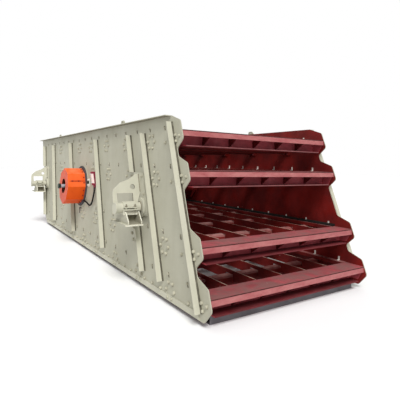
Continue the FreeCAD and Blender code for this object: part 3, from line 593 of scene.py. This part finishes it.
def shade_beams():
    """The discharge beams' gussets and lower flanges are painted darker than their webs, as shade."""
    flange_drop = 0.155
    web_drop = 0.1
    top_plate_drop = 0.03
    end_clear = 0.1
    for number, deck in enumerate(DECK_HEIGHTS, 1):
        top = z_at(deck)
        # On the lower two decks the flanges' front faces get painted shade too
        flange_paint = "flange_edge" if number < 3 else "sheltered"

        def choose(face):
            across = looks(face, y=1) or looks(face, y=-1)
            if looks_ahead(face) and face.center.z < top - flange_drop:
                return flange_paint
            if looks(face, z=1) and face.center.z < top - web_drop:
                return "sheltered"
            if across and abs(face.center.y) < HALF_WIDTH - end_clear:
                return "gusset"
            # Painted shade: the top of the beam's front face joins the dark line over the lip
            if looks_ahead(face) and face.center.z > top - top_plate_drop:
                return "lip_top"
            return None

        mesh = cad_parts["discharge_beam_%d" % number].data
        paint_faces(mesh, ["sheltered", "gusset", "lip_top", "flange_edge"], choose)


def shade_lips():
    """Painted shade lies in the step along the top of each lip."""
    for number in range(1, len(DECK_HEIGHTS) + 1):
        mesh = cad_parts["discharge_lip_%d" % number].data
        paint_faces(mesh, ["lip_top"], lambda face: "lip_top" if looks(face, z=1) else None)


# Dressing

class Piece:
    """Dressing gathered face by face, then shown as one object that rides on a body."""

    def __init__(self, name, paint, body="screen_box"):
        self.name = name
        self.paint = paint
        self.body = body
        self.mesh = bmesh.new()

    def turned(self, place, axis, profile, sides=12, turn=0.0):
        """Solid turned about an axis from (radius, height) pairs, closed at both ends."""
        axis = Vector(axis).normalized()
        start = Vector((0, 0, 1)) if abs(axis.z) < 0.9 else Vector((1, 0, 0))
        across = (start - axis * start.dot(axis)).normalized()
        other = axis.cross(across)
        rings = []
        for radius, height in profile:
            ring = []
            for index in range(sides):
                angle = turn + 2 * math.pi * index / sides
                reach = across * math.cos(angle) + other * math.sin(angle)
                ring.append(self.mesh.verts.new(Vector(place) + axis * height + reach * radius))
            rings.append(ring)
        for low, high in zip(rings, rings[1:]):
            self.band(low, high)
        self.mesh.faces.new(rings[0][::-1])
        self.mesh.faces.new(rings[-1])

    def hoop(self, centre, side, profile, sides):
        """Closed hoop about the exciter's axis from an open profile of (radius, height) pairs."""
        rings = []
        for radius, height in profile:
            ring = []
            for index in range(sides):
                angle = 2 * math.pi * index / sides
                reach = Vector((math.cos(angle), 0, math.sin(angle))) * radius
                ring.append(self.mesh.verts.new(centre + Vector((0, side * height, 0)) + reach))
            rings.append(ring)
        for low, high in zip(rings, rings[1:] + rings[:1]):
            self.band(low, high)

    def prism(self, corners, path):
        """Solid left by an outline that moves along a vector."""
        first = [self.mesh.verts.new(Vector(corner)) for corner in corners]
        last = [self.mesh.verts.new(Vector(corner) + Vector(path)) for corner in corners]
        self.band(first, last)
        self.mesh.faces.new(first[::-1])
        self.mesh.faces.new(last)

    def band(self, low, high):
        """Faces between two rings of as many points."""
        for index in range(len(low)):
            after = (index + 1) % len(low)
            self.mesh.faces.new((low[index], low[after], high[after], high[index]))

    def bolt(self, place, axis, radius, turn=0.0):
        """Hexagon head on a washer; the washer's back is just inside what carries it."""
        place = Vector(place)
        self.turned(place, axis, [(radius * 1.3, -SINK), (radius * 1.3, 0.004)], 14)
        self.turned(place, axis, [(radius, 0.003), (radius, 0.013), (radius * 0.84, 0.016)], 6, turn)

    def dome(self, place, axis, radius):
        """Round-headed bolt that stands out well from the plate."""
        profile = [(radius, -SINK), (radius, 0.01), (radius * 0.86, 0.018), (radius * 0.5, 0.023)]
        self.turned(place, axis, profile)

    def shadow_disc(self, place, axis, radius):
        """Thin dark disc a little below a bolt: a painted shadow under its head."""
        low = Vector(place) - Vector((0, 0, radius * 0.34))
        self.turned(low, axis, [(radius * 1.02, -SINK), (radius * 0.96, 0.0012)])

    def show(self):
        bmesh.ops.recalc_face_normals(self.mesh, faces=self.mesh.faces)
        mesh = bpy.data.meshes.new(self.name)
        self.mesh.to_mesh(mesh)
        self.mesh.free()
        mesh.materials.append(PAINT[self.paint])
        piece = bpy.data.objects.new(self.name, mesh)
        bpy.context.scene.collection.objects.link(piece)
        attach(piece, self.body)
        return piece


def rise_at(u, h):
    """How far the face that a bolt sits on stands out from the side plate."""
    for face, foot, head in STIFFENERS:
        if foot < h < head and -face - STIFFENER_WIDTH - BOLT_REACH < u < -face:
            return STIFFENER_WALL
    return 0.0


def tube_row(first, last):
    return [first + TUBE_PITCH * step for step in range(int((last - first) / TUBE_PITCH) + 1)]


def tube_places(deck_index):
    """Tubes' distances back; on the second deck the exciter's own tube stands in for one."""
    places = tube_row(FIRST_TUBE, EXCITER_BACK - EXCITER_BAY_HALF)
    if deck_index != 1:
        places.append(EXCITER_BACK)
    places.extend(tube_row(EXCITER_BACK + EXCITER_BAY_HALF, PLATE_LENGTH - FEED_BAY_LEAST))
    return places


def tube_bolts():
    """Bolts through each tube's flange, with nuts on its inner face."""
    for side in (-1, 1):
        outer = Piece("tube_bolts_" + side_name(side), "bolt")
        # Dark discs below the bolt heads: painted shadow
        bolt_shadows = Piece("tube_bolt_shadows_" + side_name(side), "crevice")
        inner = Piece("tube_nuts_" + side_name(side), "red_bolt")
        for index, deck in enumerate(DECK_HEIGHTS):
            for back in tube_places(index):
                centre = side_point(-back, deck - TUBE_DROP, 0.0, side)
                for step in range(TUBE_BOLTS):
                    angle = 2 * math.pi * step / TUBE_BOLTS
                    spot = centre + Vector((math.cos(angle), 0, math.sin(angle))) * TUBE_BOLT_CIRCLE
                    h = spot.z - LIFT
                    u = spot.x + lean(h) + CENTRE_X
                    if from_exciter(u, h) < PLATE_DISC_RADIUS + DISC_BOLT_CLEAR:
                        continue
                    seat = spot + Vector((0, side * rise_at(u, h), 0))
                    outer.dome(seat, (0, side, 0), TUBE_BOLT_RADIUS)
                    bolt_shadows.shadow_disc(seat, (0, side, 0), TUBE_BOLT_RADIUS)
                    inside = Vector((spot.x, side * (HALF_WIDTH - TUBE_FLANGE_THICK), spot.z))
                    inner.bolt(inside, (0, -side, 0), TUBE_NUT_RADIUS, angle)
        outer.show()
        bolt_shadows.show()
        inner.show()


def slot_outline(corners, radius, half):
    """Outline of an upright slot with round ends, as (across, rise) pairs."""
    outline = []
    for corner in range(corners):
        angle = 2 * math.pi * (corner + 0.5) / corners
        middle = half if math.sin(angle) > 0 else -half
        outline.append((radius * math.cos(angle), middle + radius * math.sin(angle)))
    return outline


def hold_downs():
    """Wedge slots along every deck, with a pale hold-down angle at each on the inside."""
    slot_shape = slot_outline(corners=12, radius=0.009, half=0.018)
    wedge_shape = ((-0.007, 0.002), (0.007, 0.002), (0.005, 0.022), (-0.005, 0.022))
    angle_shape = ((0.0005, 0.0), (0.0005, 0.052), (-0.007, 0.052), (-0.007, 0.007), (-0.034, 0.007),
                   (-0.034, 0.0))
    for side in (-1, 1):
        slots = Piece("hold_down_slots_" + side_name(side), "slot")
        wedges = Piece("hold_down_wedges_" + side_name(side), "bolt")
        angles = Piece("hold_down_angles_" + side_name(side), "mark")
        for deck in DECK_HEIGHTS:
            for step in range(HOLD_DOWNS):
                u = -HOLD_DOWN_FIRST - HOLD_DOWN_PITCH * step
                h = deck + HOLD_DOWN_RISE
                if from_exciter(u, h) < PLATE_DISC_RADIUS + DISC_SLOT_CLEAR:
                    continue
                # Each slot is a thin dark sheet on the plate: painted shade where its recess would be
                slot = [side_point(u + across, h + rise, -SINK, side) for across, rise in slot_shape]
                slots.prism(slot, (0, side * 0.004, 0))
                wedge = [side_point(u + across, h + rise, 0.002, side) for across, rise in wedge_shape]
                wedges.prism(wedge, (0, side * 0.014, 0))
                x = x_at(u, deck) - HOLD_DOWN_LENGTH / 2
                foot = z_at(deck) + RAIL_RISE
                angle = [(x, side * (HALF_WIDTH + reach), foot + rise) for reach, rise in angle_shape]
                angles.prism(angle, (HOLD_DOWN_LENGTH, 0, 0))
        slots.show()
        wedges.show()
        angles.show()


def lobe_bolts():
    """Bolts through the discharge lobes, the beams' end plates and the lower edge."""
    for side in (-1, 1):
        bolts = Piece("edge_bolts_" + side_name(side), "bolt")
        # Dark discs below the bolt heads: painted shadow
        bolt_shadows = Piece("edge_bolt_shadows_" + side_name(side), "crevice")
        places = [(-back, deck - drop) for deck in DECK_HEIGHTS for back, drop in LOBE_BOLTS]
        back = FOOT_BOLT_FIRST
        while back < PLATE_LENGTH - FOOT_BOLT_END_CLEAR:
            if min(abs(back - tube) for tube in tube_places(3)) > FOOT_BOLT_CLEAR:
                places.append((-back, FOOT_BOLT_HEIGHT))
            back += FOOT_BOLT_PITCH
        for u, h in places:
            bolts.dome(side_point(u, h, 0.0, side), (0, side, 0), EDGE_BOLT_RADIUS)
            bolt_shadows.shadow_disc(side_point(u, h, 0.0, side), (0, side, 0), EDGE_BOLT_RADIUS)
        bolts.show()
        bolt_shadows.show()


def stiffener_seams():
    """Dark weld bead along the standing leg of each stiffener: a painted shadow at its foot."""
    section = ((-0.001, -SINK), (0.015, -SINK), (0.004, 0.013), (-0.001, 0.017))
    for side in (-1, 1):
        seams = Piece("stiffener_welds_" + side_name(side), "seam")
        for face, foot, head in STIFFENERS:
            seams.prism([side_point(ahead - face, foot, out, side) for ahead, out in section],
                        (lean(foot) - lean(head), 0, head - foot))
        seams.show()


def bracket_dressing():
    """Bolts on the doublers, collars at the arms' roots and weld beads at the gussets' feet."""
    collar = [(COLLAR_RADIUS, -SINK), (COLLAR_RADIUS, 0.024), (COLLAR_RADIUS - 0.005, COLLAR_DEPTH),
              (ARM_RADIUS - SINK, COLLAR_DEPTH)]
    arm_weld = [(ARM_RADIUS + 0.01, -SINK), (ARM_RADIUS + 0.007, 0.006), (ARM_RADIUS - SINK, 0.01)]
    for side in (-1, 1):
        bolts = Piece("doubler_bolts_" + side_name(side), "bolt")
        collars = Piece("arm_root_collars_" + side_name(side), "rib")
        welds = Piece("bracket_welds_" + side_name(side), "crevice")
        for back in BRACKETS:
            for reach in (-DOUBLER_BOLT_REACH, DOUBLER_BOLT_REACH):
                for rise in DOUBLER_BOLT_RISES:
                    place = side_point(reach - back, ARM_HEIGHT + rise, DOUBLER_THICK, side)
                    bolts.dome(place, (0, side, 0), DOUBLER_BOLT_RADIUS)
            low, high = (ARM_HEIGHT + rise for rise in GUSSET_WELD_RISES)
            for turn in (-1, 1):
                start = side_point(-back, low, DOUBLER_THICK - SINK, side)
                start.x += turn * GUSSET_PLATE_THICK / 2
                welds.prism([start - Vector((turn * SINK, 0, 0)), start + Vector((turn * 0.01, 0, 0)),
                             start + Vector((-turn * SINK, side * 0.011, 0))],
                            (lean(low) - lean(high), 0, high - low))
            root = side_point(-back, ARM_HEIGHT, DOUBLER_THICK, side)
            collars.turned(root, (0, side, 0), collar, 48)
            welds.turned(root + Vector((0, side * COLLAR_DEPTH, 0)), (0, side, 0), arm_weld, 40)
        bolts.show()
        collars.show()
        welds.show()


def clamp_dressing():
    """Studs with nuts through the ears of each spring seat's clamp."""
    stud = [(0.008, 0.015), (0.008, 0.032), (0.006, 0.034)]
    hexagon_turn = 0.3
    for side in (-1, 1):
        for place, back in zip(("discharge", "feed"), BRACKETS):
            body = "seat_" + side_name(side) + "_" + place
            nuts = Piece("clamp_nuts_" + side_name(side) + "_" + place, "crevice", body)
            arm = Vector((x_at(-back, ARM_HEIGHT), side * PLATE_OUT, z_at(ARM_HEIGHT)))
            for reach in (-STUD_REACH, STUD_REACH):
                for out in STUD_PLACES:
                    top = arm + Vector((reach, side * out, STUD_EAR_FACE))
                    nuts.bolt(top, (0, 0, 1), CLAMP_NUT_RADIUS, hexagon_turn)
                    nuts.turned(top, (0, 0, 1), stud, 10)
                under = arm + Vector((reach, side * STUD_PLACES[0], -STUD_EAR_FACE))
                nuts.bolt(under, (0, 0, -1), CLAMP_NUT_RADIUS, hexagon_turn)
            nuts.show()


def deck_dressing():
    """Rubber strip on the rails of the third deck and the dark joint over each lip."""
    strips = Piece("rail_rubber_strips", "rubber")
    strip_section = ((0.0, 0.0), (0.06, 0.0), (0.055, 0.016), (0.0, 0.03))
    deck = DECK_HEIGHTS[2]
    front = x_at(-LIP_SETBACK, deck) - TOP_PLATE_DEPTH
    rear = x_at(-PLATE_LENGTH + 0.07, deck + RAIL_RISE)
    for side in (-1, 1):
        foot = z_at(deck) + RAIL_RISE - SINK
        wall = side * (HALF_WIDTH + 0.0005)
        strips.prism([(front, wall - side * inward, foot + rise) for inward, rise in strip_section],
                     (rear - front, 0, 0))
    strips.show()
    joints = Piece("lip_rubber_joints", "rubber")
    joint_section = ((0.0, -SINK), (0.006, -SINK), (0.005, 0.006), (-0.02, 0.006), (-0.02, -SINK))
    reach = HALF_WIDTH - 0.004
    for deck in DECK_HEIGHTS:
        x = x_at(-LIP_SETBACK, deck) - LIP_THICK
        joints.prism([(x + ahead, -reach, z_at(deck) + rise) for ahead, rise in joint_section],
                     (0, 2 * reach, 0))
    joints.show()


def make_hose():
    """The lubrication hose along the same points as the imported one."""
    y = -PLATE_OUT - BLOCK_DEPTH / 2
    start = (EXCITER_X + 0.27, EXCITER_Z - 0.25)
    end_x = x_at(-EXCITER_BACK + BLOCK_BEFORE_EXCITER, EXCITER_HEIGHT + BLOCK_RISE)
    end_z = z_at(EXCITER_HEIGHT + BLOCK_RISE) - FITTING_LENGTH
    route = [
        start,
        (EXCITER_X + 0.410, EXCITER_Z - 0.250),
        (EXCITER_X + 0.548, EXCITER_Z - 0.281),
        (EXCITER_X + 0.655, EXCITER_Z - 0.302),
        (EXCITER_X + 0.727, EXCITER_Z - 0.282),
        (EXCITER_X + 0.784, EXCITER_Z - 0.234),
        (EXCITER_X + 0.820, EXCITER_Z - 0.166),
        (EXCITER_X + 0.852, EXCITER_Z - 0.098),
        (end_x, end_z - 0.049),
        (end_x, end_z),
    ]
    data = bpy.data.curves.new("hose", "CURVE")
    data.dimensions = "3D"
    line = data.splines.new("NURBS")
    line.points.add(len(route) - 1)
    for point, (x, z) in zip(line.points, route):
        point.co = (x, y, z, 1.0)
    line.order_u = 3
    line.use_endpoint_u = True
    line.resolution_u = 12
    data.bevel_depth = HOSE_RADIUS
    data.bevel_resolution = 6
    data.use_fill_caps = True
    data.materials.append(PAINT["rubber"])
    hose = bpy.data.objects.new("hose", data)
    bpy.context.scene.collection.objects.link(hose)
    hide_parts("grease_hose")
    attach(hose, "screen_box")
    collars = Piece("hose_collars", "casting")
    profile = [(0.0148, 0.0), (0.0172, 0.003), (0.0172, 0.026), (0.0152, 0.030), (0.0172, 0.033),
               (0.0165, 0.04), (0.0146, 0.043)]
    collars.turned((start[0], y, start[1]), (1, 0, 0), profile, 24)
    collars.turned((end_x, y, end_z), (0, 0, -1), profile, 24)
    collars.show()


def guard_point(side, angle, along, out, lift=0.0):
    """Point on the guard's flat that looks this way, this far along it and out from the plate."""
    facing = Vector((math.cos(angle), 0, math.sin(angle)))
    way = Vector((-math.sin(angle), 0, math.cos(angle)))
    middle = Vector((EXCITER_X, side * (PLATE_OUT + out), EXCITER_Z))
    return middle + facing * (GUARD_FLAT + lift) + way * along


def guard_bar(piece, side, low, high, out, length, lift, taper=0.0):
    """Bar that runs outwards on the guard's upper front flat, between two places along it."""
    section = ((low, -SINK), (high, -SINK), (high - taper, lift), (low + taper, lift))
    piece.prism([guard_point(side, GUARD_STEP / 2, along, out, rise) for along, rise in section],
                (0, side * length, 0))


def guard_dressing():
    """Seam, hand slot, foot bolts and opening rim of the eight-sided guards."""
    foot_bolt = [(0.012, -SINK), (0.012, 0.003), (0.0085, 0.003), (0.0085, 0.01), (0.0065, 0.012)]
    rim_section = ((0.1315, -0.0045), (0.1315, 0.0035), (0.1345, 0.005), (0.1385, 0.0035),
                   (0.14, -0.0005))
    for side in (-1, 1):
        seam = Piece("guard_seam_" + side_name(side), "guard")
        slot = Piece("guard_slot_" + side_name(side), "guard_dark")
        bolts = Piece("guard_bolts_" + side_name(side), "guard_dark")
        nuts = Piece("housing_bolts_" + side_name(side), "dark_bolt")
        rim = Piece("guard_opening_lip_" + side_name(side), "guard")
        for low, high in ((-0.027, -0.0235), (-0.0095, -0.006)):
            guard_bar(seam, side, low, high, GUARD_BASE + 0.004, GUARD_DEPTH - GUARD_BASE - 0.008, 0.007)
        guard_bar(slot, side, -0.0237, -0.0093, 0.1, 0.185, 0.004)
        for out in (0.135, 0.245):
            guard_bar(slot, side, -0.029, -0.004, out, 0.022, 0.011, 0.002)
        for index in range(8):
            angle = GUARD_STEP * (index + 0.5)
            facing = Vector((math.cos(angle), 0, math.sin(angle)))
            for along in (-0.05, 0.05):
                bolts.turned(guard_point(side, angle, along, 0.05), facing, foot_bolt)
            flange = Vector((EXCITER_X, side * (PLATE_OUT + HOUSING_FLANGE_FACE), EXCITER_Z))
            nuts.bolt(flange + facing * HOUSING_BOLT_CIRCLE, (0, side, 0), HOUSING_BOLT_RADIUS, angle)
        rim.hoop(Vector((EXCITER_X, side * (PLATE_OUT + GUARD_DEPTH), EXCITER_Z)), side, rim_section, 48)
        seam.show()
        slot.show()
        bolts.show()
        nuts.show()
        # Painted shade: the rim's faces towards the axis are as dark as the guards' insides
        paint_faces(rim.show().data, ["guard_inside"],
                    lambda face: "guard_inside" if looks_at_axis(face) else None)


def grease_point():
    """Pale plate beside the near guard, with a green body and two nipples."""
    out = (0, -1, 0)
    body = Piece("grease_point_body", "cap")
    nipples = Piece("grease_point_nipples", "mark")
    middle = Vector((EXCITER_X + GREASE_POINT_REACH, -PLATE_OUT, EXCITER_Z + GREASE_POINT_RISE))
    plate_shape = slot_outline(corners=16, radius=0.026, half=0.052)
    nipples.prism([middle + Vector((across, SINK, rise)) for across, rise in plate_shape], (0, -0.007, 0))
    hexagon = [(0.024, -SINK), (0.024, 0.024), (0.018, 0.034)]
    body.turned(middle + Vector((0, -0.005, 0.006)), out, hexagon, 6)
    nipple = [(0.015, -SINK), (0.015, 0.014), (0.008, 0.016), (0.012, 0.022), (0.007, 0.03)]
    for rise in (-0.042, 0.05):
        nipples.turned(middle + Vector((0, -0.005, rise)), out, nipple)
    body.show()
    nipples.show()


def block_point(share, ahead, out):
    """Point on the near lubrication block, this share of its length up from its foot."""
    return side_point(-EXCITER_BACK + BLOCK_BEFORE_EXCITER - BLOCK_LEAN * share + ahead,
                      EXCITER_HEIGHT + BLOCK_RISE + BLOCK_LENGTH * share, out, -1)


def block_fittings():
    """Outlets on the block's rear side and bolts on its cover."""
    outlets = Piece("block_outlets", "maroon")
    for share, length in BLOCK_OUTLETS:
        profile = [(0.012, -0.003), (0.012, 0.006), (0.008, 0.007), (0.008, length),
                   (0.0055, length + 0.003)]
        outlets.turned(block_point(share, -0.0235, BLOCK_DEPTH / 2), (-1, 0, 0), profile)
    outlets.show()
    caps = Piece("block_caps", "steel")
    for share in (0.2, 0.5, 0.8):
        caps.bolt(block_point(share, 0.0, BLOCK_DEPTH), (0, -1, 0), 0.009, 0.2)
    caps.show()


def drain_stub():
    """Bent pipe stub on the plate below the near guard."""
    stub = Piece("drain_stub", "dark_bolt")
    root = side_point(*DRAIN_PLACE, 0.0, -1)
    elbow = [(0.017, -SINK), (0.017, 0.005), (0.009, 0.006), (0.009, 0.03), (0.007, 0.036)]
    pipe = [(0.008, 0.0), (0.008, 0.075), (0.011, 0.078), (0.011, 0.094), (0.007, 0.1)]
    stub.turned(root, (0, -1, 0), elbow)
    stub.turned(root + Vector((0, -0.024, 0.004)), (0.15, 0, -1), pipe)
    stub.show()


def lug_dressing():
    """Weld beads along both sides of each lifting lug's foot."""
    welds = Piece("lug_welds", "crevice")
    for side in (-1, 1):
        for back in LUGS:
            for distance, turn in ((LUG_THICK, -1), (2 * LUG_THICK, 1)):
                start = side_point(-back - LUG_HALF_WELD, PLATE_HEIGHT, distance, side)
                welds.prism([start + Vector((0, -side * turn * SINK, -SINK)),
                             start + Vector((0, side * turn * 0.008, -SINK)),
                             start + Vector((0, -side * turn * SINK, 0.008))], (2 * LUG_HALF_WELD, 0, 0))
    welds.show()


# Stage

def make_stage():
    """Pale floor that reaches past what any view shows."""
    floor = bpy.data.meshes.new("floor")
    reach = 60.0
    floor.from_pydata([(-reach, -reach, 0), (reach, -reach, 0), (reach, reach, 0), (-reach, reach, 0)],
                      [], [(0, 1, 2, 3)])
    floor_object = bpy.data.objects.new("floor", floor)
    bpy.context.scene.collection.objects.link(floor_object)
    material = bpy.data.materials.new("pale_floor")
    material.use_nodes = True
    shader = material.node_tree.nodes["Principled BSDF"]
    shader.inputs["Base Color"].default_value = (0.9, 0.9, 0.9, 1.0)
    shader.inputs["Roughness"].default_value = 0.9
    floor.materials.append(material)


def make_world():
    """Plain light from all round; the camera, gloss and glass see a white backdrop."""
    world = bpy.data.worlds.new("studio")
    bpy.context.scene.world = world
    world.use_nodes = True
    nodes = world.node_tree.nodes
    links = world.node_tree.links
    background = nodes["Background"]
    background.inputs["Color"].default_value = (1.0, 1.0, 1.0, 1.0)
    background.inputs["Strength"].default_value = WORLD_LEVEL
    white = nodes.new("ShaderNodeBackground")
    white.inputs["Color"].default_value = (1.0, 1.0, 1.0, 1.0)
    white.inputs["Strength"].default_value = 1.0
    path = nodes.new("ShaderNodeLightPath")
    mix = nodes.new("ShaderNodeMixShader")
    seen = path.outputs["Is Camera Ray"]
    for kind in ("Is Glossy Ray", "Is Transmission Ray"):
        either = nodes.new("ShaderNodeMath")
        either.operation = "MAXIMUM"
        links.new(seen, either.inputs[0])
        links.new(path.outputs[kind], either.inputs[1])
        seen = either.outputs[0]
    links.new(seen, mix.inputs["Fac"])
    links.new(background.outputs[0], mix.inputs[1])
    links.new(white.outputs[0], mix.inputs[2])
    links.new(mix.outputs[0], nodes["World Output"].inputs["Surface"])


def add_lamp(name, toward, spread, power):
    """Even light from one side of the sky; a wide spread makes its shadows soft."""
    lamp = bpy.data.lights.new(name, "SUN")
    lamp.energy = power
    lamp.angle = math.radians(spread)
    lamp_object = bpy.data.objects.new(name, lamp)
    bpy.context.scene.collection.objects.link(lamp_object)
    lamp_object.rotation_euler = Vector(toward).to_track_quat("Z", "Y").to_euler()


def make_lamps():
    add_lamp("key_lamp", (0.60, -0.28, 0.75), spread=24.0, power=2.9)
    add_lamp("fill_lamp", (0.30, -0.70, 0.45), spread=60.0, power=0.5)


def make_camera():
    right = Vector(CAMERA_RIGHT).normalized()
    back = right.cross(Vector(CAMERA_UP)).normalized()
    up = back.cross(right)
    turn = Matrix((right, up, back)).transposed().to_4x4()
    camera = bpy.data.cameras.new("camera")
    camera.sensor_width = CAMERA_SENSOR
    camera.lens = CAMERA_LENS
    camera.shift_x = CAMERA_SHIFT_X
    camera.shift_y = CAMERA_SHIFT_Y
    camera.clip_end = CAMERA_REACH
    camera_object = bpy.data.objects.new("camera", camera)
    bpy.context.scene.collection.objects.link(camera_object)
    camera_object.matrix_world = Matrix.Translation(CAMERA_PLACE) @ turn
    bpy.context.scene.camera = camera_object


bpy.context.scene.view_settings.view_transform = "Standard"
make_camera()
make_hose()
paint_nodes()
shade_side_plates()
shade_bores()
shade_guard_insides()
shade_seats()
shade_beams()
shade_lips()
tube_bolts()
hold_downs()
lobe_bolts()
stiffener_seams()
bracket_dressing()
clamp_dressing()
deck_dressing()
guard_dressing()
grease_point()
block_fittings()
drain_stub()
lug_dressing()
make_stage()
make_world()
make_lamps()
